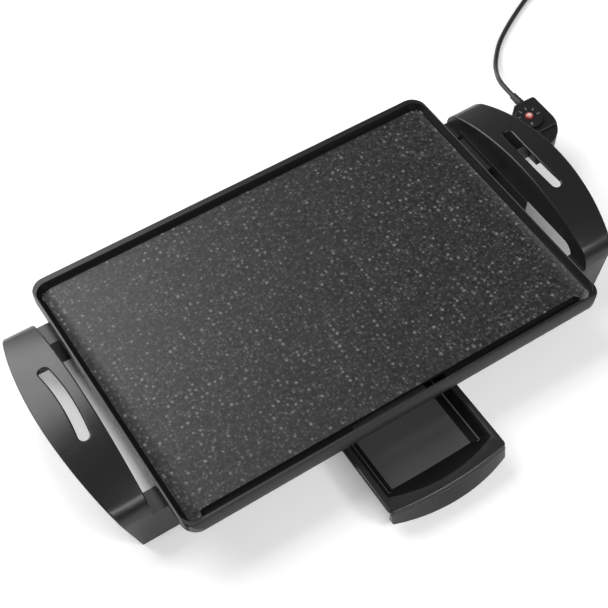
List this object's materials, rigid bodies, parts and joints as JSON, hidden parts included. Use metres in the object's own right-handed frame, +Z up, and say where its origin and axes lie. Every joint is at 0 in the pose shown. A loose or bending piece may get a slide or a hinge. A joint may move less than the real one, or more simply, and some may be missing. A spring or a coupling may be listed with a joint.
{
  "type": "electric griddle",
  "caption": "Electric griddle with a rimmed non-stick plate, arched handle legs, a slide-out drip tray and a plug-in temperature control with dial, lamp and cord.",
  "frame": {"origin": "on the table plane under the middle of the plate", "axes": "+X to the end with the temperature control, +Y to the back, +Z up"},
  "size_m": [0.7747, 0.5372, 0.079],
  "materials": {
    "plate_coating": "matte, speckled non-stick",
    "handle_plastic": "satin",
    "tray_plastic": "satin",
    "control_plastic": "satin",
    "dial_plastic": "satin",
    "lens_plastic": "gloss, translucent",
    "cord_rubber": "matte",
    "plug_rubber": "matte",
    "foot_rubber": "matte",
    "element_steel": "satin",
    "guard_steel": "satin black",
    "plated_steel": "plated",
    "contact_brass": "satin",
    "thermostat_ceramic": "matte",
    "lamp_glass": "clear",
    "tie_plastic": "matte"
  },
  "bodies": {
    "base": {"griddle_plate": "plate_coating", "left_handle": "handle_plastic", "right_handle": "handle_plastic", "heating_element": "element_steel", "terminal_pins": "plated_steel", "terminal_guard": "guard_steel", "handle_screws": "plated_steel", "rubber_feet": "foot_rubber", "left_tray_rail": "guard_steel", "right_tray_rail": "guard_steel", "rail_screws": "plated_steel"},
    "tray": {"drip_tray": "tray_plastic", "tray_front": "handle_plastic", "tray_front_screws": "plated_steel"},
    "probe": {"probe_upper_housing": "control_plastic", "probe_lower_housing": "control_plastic", "indicator_lens": "lens_plastic", "cord_strain_relief": "cord_rubber", "power_cord": "cord_rubber", "probe_stem": "element_steel", "probe_contacts": "contact_brass", "thermostat": "thermostat_ceramic", "neon_lamp": "lamp_glass", "probe_screws": "plated_steel", "cord_coil": "cord_rubber", "coil_tie": "tie_plastic", "plug_body": "plug_rubber", "plug_blades": "contact_brass"},
    "dial": {"probe_dial": "dial_plastic"}
  },
  "joints": [
    {"name": "tray_slide", "type": "slide", "parent": "base", "child": "tray", "axis": [0, -1, 0], "range_m": [-0.048, 0.048]},
    {"name": "control_pull", "type": "slide", "parent": "base", "child": "probe", "axis": [1, 0, 0], "range_m": [0, 0.045]},
    {"name": "dial_turn", "type": "hinge", "parent": "probe", "child": "dial", "pos_m": [0.292, 0.063, 0.046], "axis": [0, 0, 1], "range_deg": [0, 270]}
  ]
}
